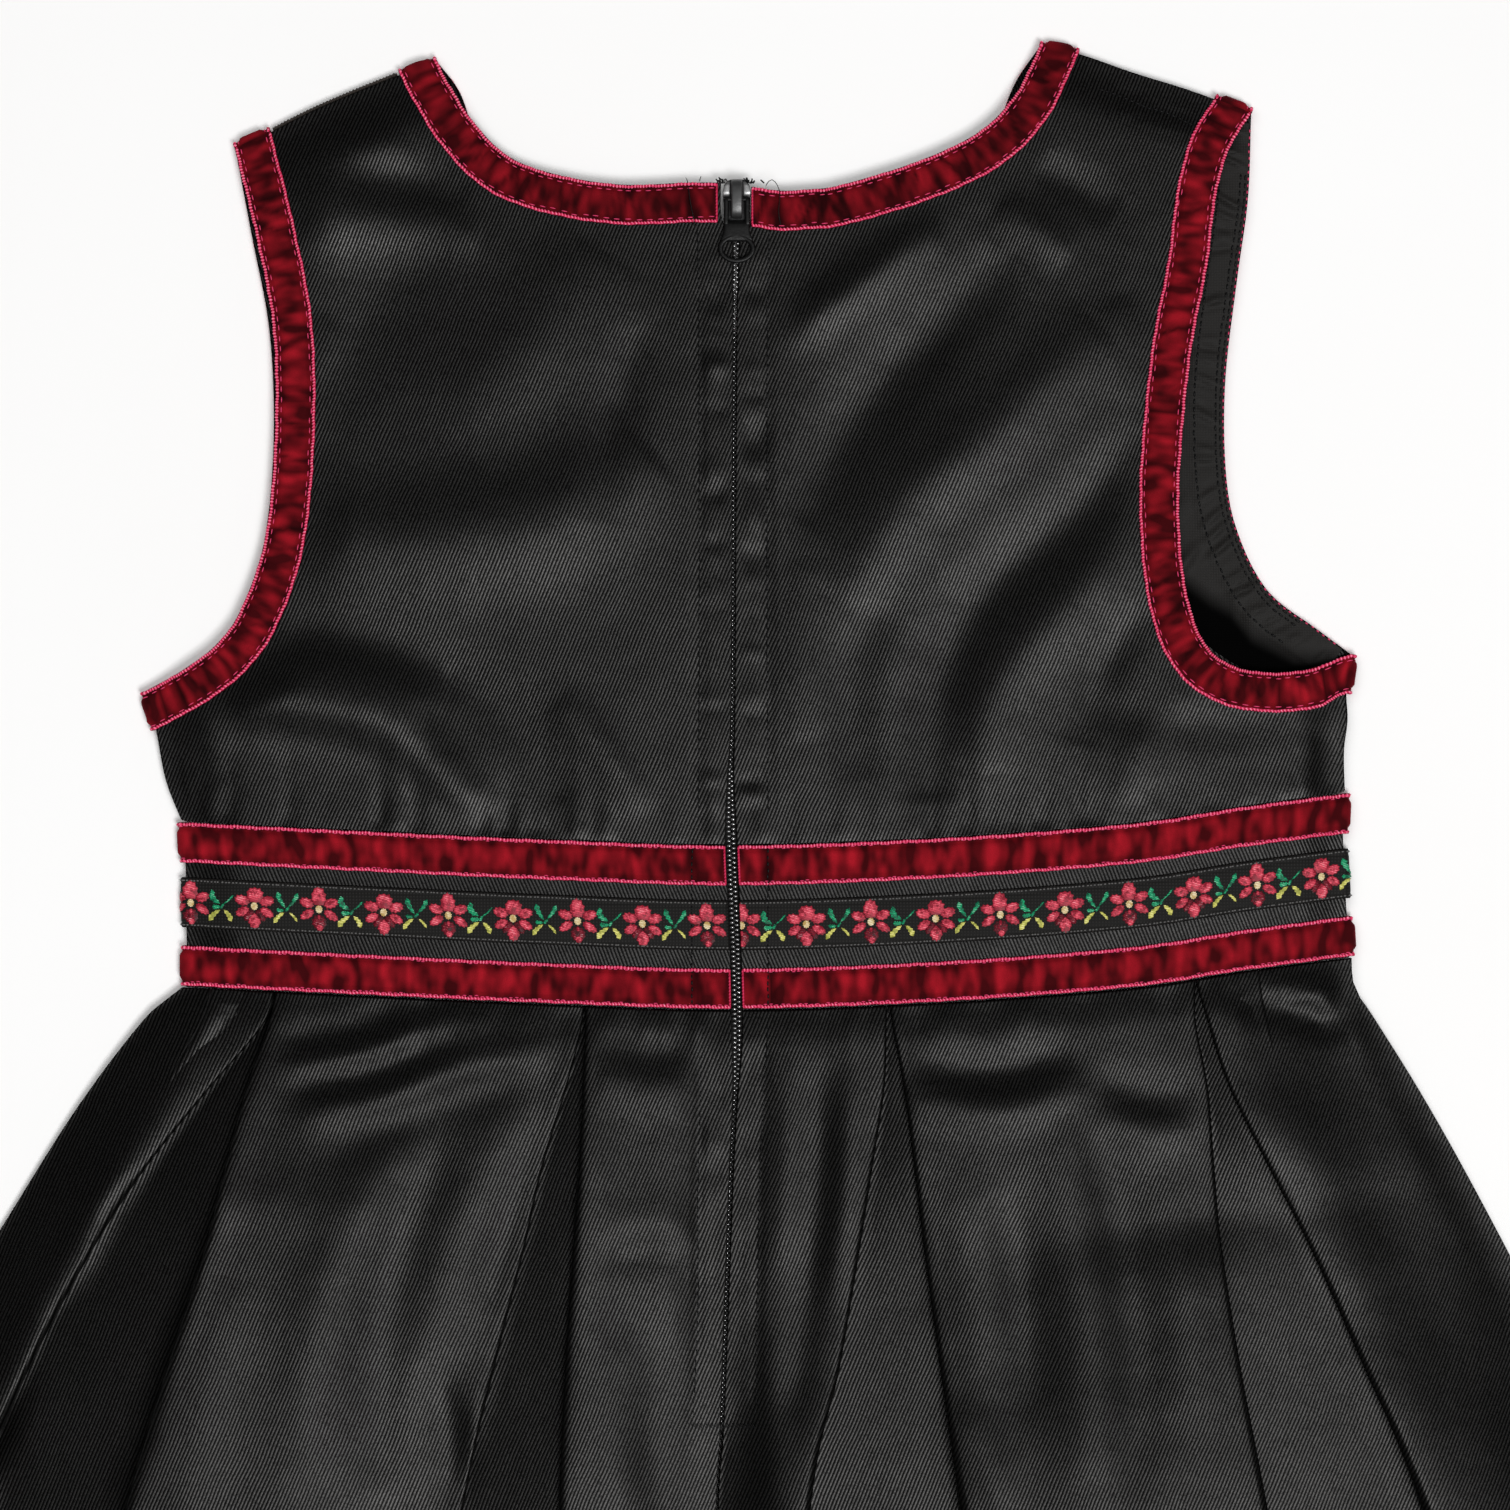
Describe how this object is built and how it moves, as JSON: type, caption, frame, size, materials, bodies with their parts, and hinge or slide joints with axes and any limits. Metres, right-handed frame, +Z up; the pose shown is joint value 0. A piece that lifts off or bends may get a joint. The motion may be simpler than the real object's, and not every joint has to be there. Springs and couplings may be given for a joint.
{
  "type": "sleeveless folk costume dress",
  "caption": "Child's sleeveless black folk-dress pinafore lying on its front: velvet ribbon round neck and armholes, ribboned waistband, pleated skirt, centre-back zip.",
  "frame": {"origin": "middle of the garment's box in X and Y, on the surface that it lies on", "axes": "+Y towards the neck, +X to the right as the back is looked at, +Z up from the surface"},
  "size_m": [0.5857, 0.6246, 0.0121],
  "materials": {
    "satin": "satin twill",
    "lining": "matte",
    "velvet": "velvet pile",
    "flower_ribbon": "woven ribbon with flowers",
    "zip_tape": "woven tape",
    "zip_coil": "nylon coil",
    "zip_metal": "dark enamel"
  },
  "bodies": {
    "dress": {"bodice_front": "satin", "bodice_back_left": "satin", "bodice_back_right": "satin", "waistband_front": "satin", "waistband_back_left": "satin", "waistband_back_right": "satin", "skirt_front": "satin", "skirt_back_left": "satin", "skirt_back_right": "satin", "armhole_lining": "lining", "neck_ribbon": "velvet", "armhole_ribbon_left": "velvet", "armhole_ribbon_right": "velvet", "waist_ribbon_upper": "velvet", "waist_ribbon_lower": "velvet", "flower_ribbon": "flower_ribbon", "zip_tape_left": "zip_tape", "zip_tape_right": "zip_tape", "zip_coil": "zip_coil", "zip_slider": "zip_metal"},
    "pull_tab": {"zip_pull_tab": "zip_metal"}
  },
  "joints": [
    {"name": "tab_hinge", "type": "hinge", "parent": "dress", "child": "pull_tab", "pos_m": [0.00045, 0.2719, 0.0065], "axis": [-1, 0, 0], "range_deg": [0, 150]}
  ]
}
